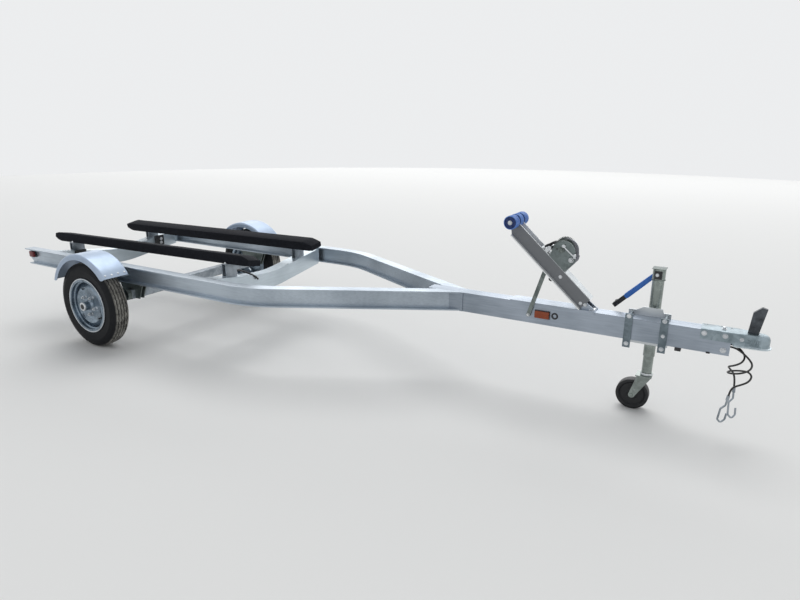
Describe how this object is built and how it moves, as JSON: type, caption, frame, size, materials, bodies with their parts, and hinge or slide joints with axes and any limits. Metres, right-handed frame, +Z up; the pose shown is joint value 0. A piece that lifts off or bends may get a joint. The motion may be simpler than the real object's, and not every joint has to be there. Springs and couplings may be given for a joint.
{
  "type": "boat trailer",
  "caption": "Single-hull watercraft trailer with curved I-beam rails, box tongue, carpeted bunks, winch stand with bow roller, swing-up jack and ball coupler.",
  "frame": {"origin": "on the ground under the middle of the trailer's length and width", "axes": "+X forward to the coupler, +Y to the trailer's left, +Z up"},
  "size_m": [4.457, 1.536, 0.9143],
  "materials": {
    "aluminium": "bare mill-finish aluminium",
    "fender_aluminium": "pale satin aluminium",
    "galvanised_steel": "galvanised, dull grey",
    "black_steel": "black paint",
    "carpet": "black bunk carpet",
    "tyre": "black rubber, dusty tread",
    "blue_plastic": "blue moulded plastic",
    "webbing": "black winch webbing on a steel drum",
    "black_plastic": "black moulded plastic",
    "cable_sheath": "black plastic sheath on wire rope",
    "amber_lens": "amber reflex lens",
    "red_lens": "red reflex lens"
  },
  "bodies": {
    "frame": {"side_rail_right": "aluminium", "side_rail_left": "aluminium", "tongue_beam": "aluminium", "front_crossmember": "aluminium", "rear_crossmember": "aluminium", "axle_tube": "galvanised_steel", "axle_hanger_right": "galvanised_steel", "axle_hanger_left": "galvanised_steel", "axle_arm_right": "galvanised_steel", "axle_arm_left": "galvanised_steel", "fender_right": "fender_aluminium", "fender_left": "fender_aluminium", "fender_mount_right": "galvanised_steel", "fender_mount_left": "galvanised_steel", "bunk_right": "carpet", "bunk_left": "carpet", "bunk_bracket_front_right": "galvanised_steel", "bunk_bracket_front_left": "galvanised_steel", "bunk_bracket_rear_right": "galvanised_steel", "bunk_bracket_rear_left": "galvanised_steel", "crossmember_clip_right": "black_steel", "crossmember_clip_left": "black_steel", "winch_post": "aluminium", "post_cover": "aluminium", "winch_saddle": "aluminium", "post_strut": "galvanised_steel", "winch_frame": "galvanised_steel", "coupler": "galvanised_steel", "coupler_latch": "galvanised_steel", "cable_anchor": "black_steel", "jack_clamp": "galvanised_steel", "amber_marker_right": "amber_lens", "amber_marker_left": "amber_lens", "tail_light_right": "red_lens", "tail_light_left": "red_lens", "safety_cable_right": "cable_sheath", "safety_cable_left": "cable_sheath", "safety_hook_right": "galvanised_steel", "safety_hook_left": "galvanised_steel"},
    "wheel_right": {"tyre_right": "tyre", "wheel_rim_right": "galvanised_steel"},
    "wheel_left": {"tyre_left": "tyre", "wheel_rim_left": "galvanised_steel"},
    "bow_roller": {"bow_roller_shaft": "galvanised_steel", "bow_roller_right": "blue_plastic", "bow_roller_centre": "blue_plastic", "bow_roller_left": "blue_plastic"},
    "winch_drum": {"winch_drum": "webbing"},
    "winch_crank": {"winch_crank": "black_steel"},
    "jack": {"jack_tube": "galvanised_steel", "jack_crank": "blue_plastic"},
    "jack_leg": {"jack_leg": "galvanised_steel"},
    "caster_fork": {"caster_fork": "galvanised_steel"},
    "caster_wheel": {"caster_wheel": "black_plastic"}
  },
  "joints": [
    {"name": "right_wheel_spin", "type": "hinge", "parent": "frame", "child": "wheel_right", "pos_m": [-1.3215, -0.684, 0.262], "axis": [0, 1, 0], "continuous": true},
    {"name": "left_wheel_spin", "type": "hinge", "parent": "frame", "child": "wheel_left", "pos_m": [-1.3215, 0.684, 0.262], "axis": [0, 1, 0], "continuous": true},
    {"name": "bow_roller_spin", "type": "hinge", "parent": "frame", "child": "bow_roller", "pos_m": [1.09255, 0, 0.8813], "axis": [0, 1, 0], "continuous": true},
    {"name": "winch_drum_spin", "type": "hinge", "parent": "frame", "child": "winch_drum", "pos_m": [1.33159, 0, 0.76639], "axis": [0, 1, 0], "continuous": true},
    {"name": "winch_crank_turn", "type": "hinge", "parent": "frame", "child": "winch_crank", "pos_m": [1.37982, 0, 0.72281], "axis": [0, 1, 0], "continuous": true},
    {"name": "jack_swing", "type": "hinge", "parent": "frame", "child": "jack", "pos_m": [1.7515, 0.05, 0.465], "axis": [0, 1, 0], "range_deg": [-90, 0]},
    {"name": "jack_extend", "type": "slide", "parent": "jack", "child": "jack_leg", "axis": [0, 0, 1], "range_m": [-0.16, 0.075]},
    {"name": "caster_swivel", "type": "hinge", "parent": "jack_leg", "child": "caster_fork", "pos_m": [1.7515, 0.092, 0.19], "axis": [0, 0, 1], "continuous": true},
    {"name": "caster_spin", "type": "hinge", "parent": "caster_fork", "child": "caster_wheel", "pos_m": [1.6995, 0.092, 0.076], "axis": [0, 1, 0], "continuous": true}
  ],
  "couplings": [
    {"joint": "winch_drum_spin", "follows": "winch_crank_turn", "ratio": -0.2381}
  ]
}
